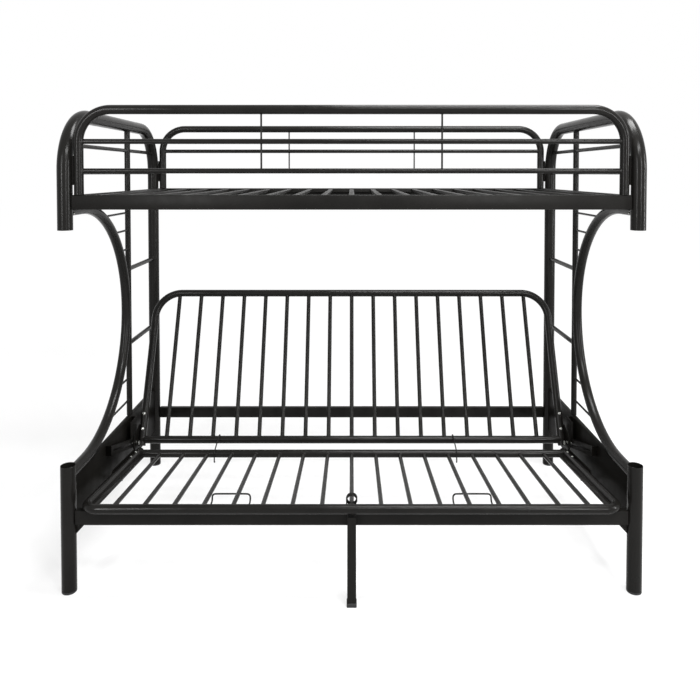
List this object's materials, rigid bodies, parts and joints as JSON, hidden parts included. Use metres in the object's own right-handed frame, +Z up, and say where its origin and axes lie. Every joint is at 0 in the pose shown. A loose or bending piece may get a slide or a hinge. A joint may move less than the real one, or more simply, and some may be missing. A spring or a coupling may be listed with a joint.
{
  "type": "futon bunk bed",
  "caption": "Black steel-tube bunk bed: a twin deck with guard rails over a futon sofa that folds flat, between C-shaped end frames with ladder rungs.",
  "frame": {"origin": "on the floor, under the middle of the bed's box", "axes": "+X along the bed towards the right end seen from the front, +Y from the front to the rear, +Z up"},
  "size_m": [2.0028, 1.1164, 1.677],
  "materials": {
    "black_coat": "satin black powder coat",
    "zinc": "bright zinc plate",
    "nylon": "matt black nylon"
  },
  "bodies": {
    "frame": {"centre_leg": "black_coat", "centre_leg_foot": "nylon", "deck_slats": "black_coat", "front_guard_bars": "black_coat", "front_guard_tube": "black_coat", "left_c_tube": "black_coat", "left_deck_end_rail": "black_coat", "left_end_guard_lower": "black_coat", "left_end_guard_upper": "black_coat", "left_end_hoop": "black_coat", "left_end_panel": "black_coat", "left_front_foot": "nylon", "left_front_guard_web": "black_coat", "left_front_leg": "black_coat", "left_guide_bracket": "black_coat", "left_ladder_post": "black_coat", "left_ladder_rung_lower": "black_coat", "left_ladder_rung_upper": "black_coat", "left_rear_foot": "nylon", "left_rear_guard_web": "black_coat", "left_slat_rest": "black_coat", "lower_front_rail": "black_coat", "lower_rear_rail": "black_coat", "rear_guard_bars": "black_coat", "rear_guard_tube": "black_coat", "right_c_tube": "black_coat", "right_deck_end_rail": "black_coat", "right_end_guard_lower": "black_coat", "right_end_guard_upper": "black_coat", "right_end_hoop": "black_coat", "right_end_panel": "black_coat", "right_front_foot": "nylon", "right_front_guard_web": "black_coat", "right_front_leg": "black_coat", "right_guide_bracket": "black_coat", "right_ladder_post": "black_coat", "right_ladder_rung_lower": "black_coat", "right_ladder_rung_upper": "black_coat", "right_rear_foot": "nylon", "right_rear_guard_web": "black_coat", "right_slat_rest": "black_coat", "slat_keeper_coil": "black_coat", "upper_front_rail": "black_coat", "upper_rear_rail": "black_coat"},
    "pivots": {"left_pivot_bolt": "zinc", "right_pivot_bolt": "zinc"},
    "seat": {"left_lock_lever": "black_coat", "left_seat_bracket": "black_coat", "left_tie_hook": "black_coat", "right_lock_lever": "black_coat", "right_seat_bracket": "black_coat", "right_tie_hook": "black_coat", "seat_frame": "black_coat"},
    "back": {"back_frame": "black_coat", "left_back_bracket": "black_coat", "right_back_bracket": "black_coat"}
  },
  "joints": [
    {"name": "pivot_slide", "type": "slide", "parent": "frame", "child": "pivots", "axis": [0, -0.9623, 0.2719], "range_m": [0, 0.25224]},
    {"name": "seat_tilt", "type": "hinge", "parent": "pivots", "child": "seat", "pos_m": [0, 0.11944, 0.27792], "axis": [1, 0, 0], "range_deg": [0, 5.64]},
    {"name": "back_recline", "type": "hinge", "parent": "pivots", "child": "back", "pos_m": [0, 0.11944, 0.27792], "axis": [-1, 0, 0], "range_deg": [0, 68.39]}
  ],
  "couplings": [
    {"joint": "pivot_slide", "follows": "back_recline", "m_per_rad": 0.21133},
    {"joint": "seat_tilt", "follows": "back_recline", "ratio": 0.082473}
  ]
}
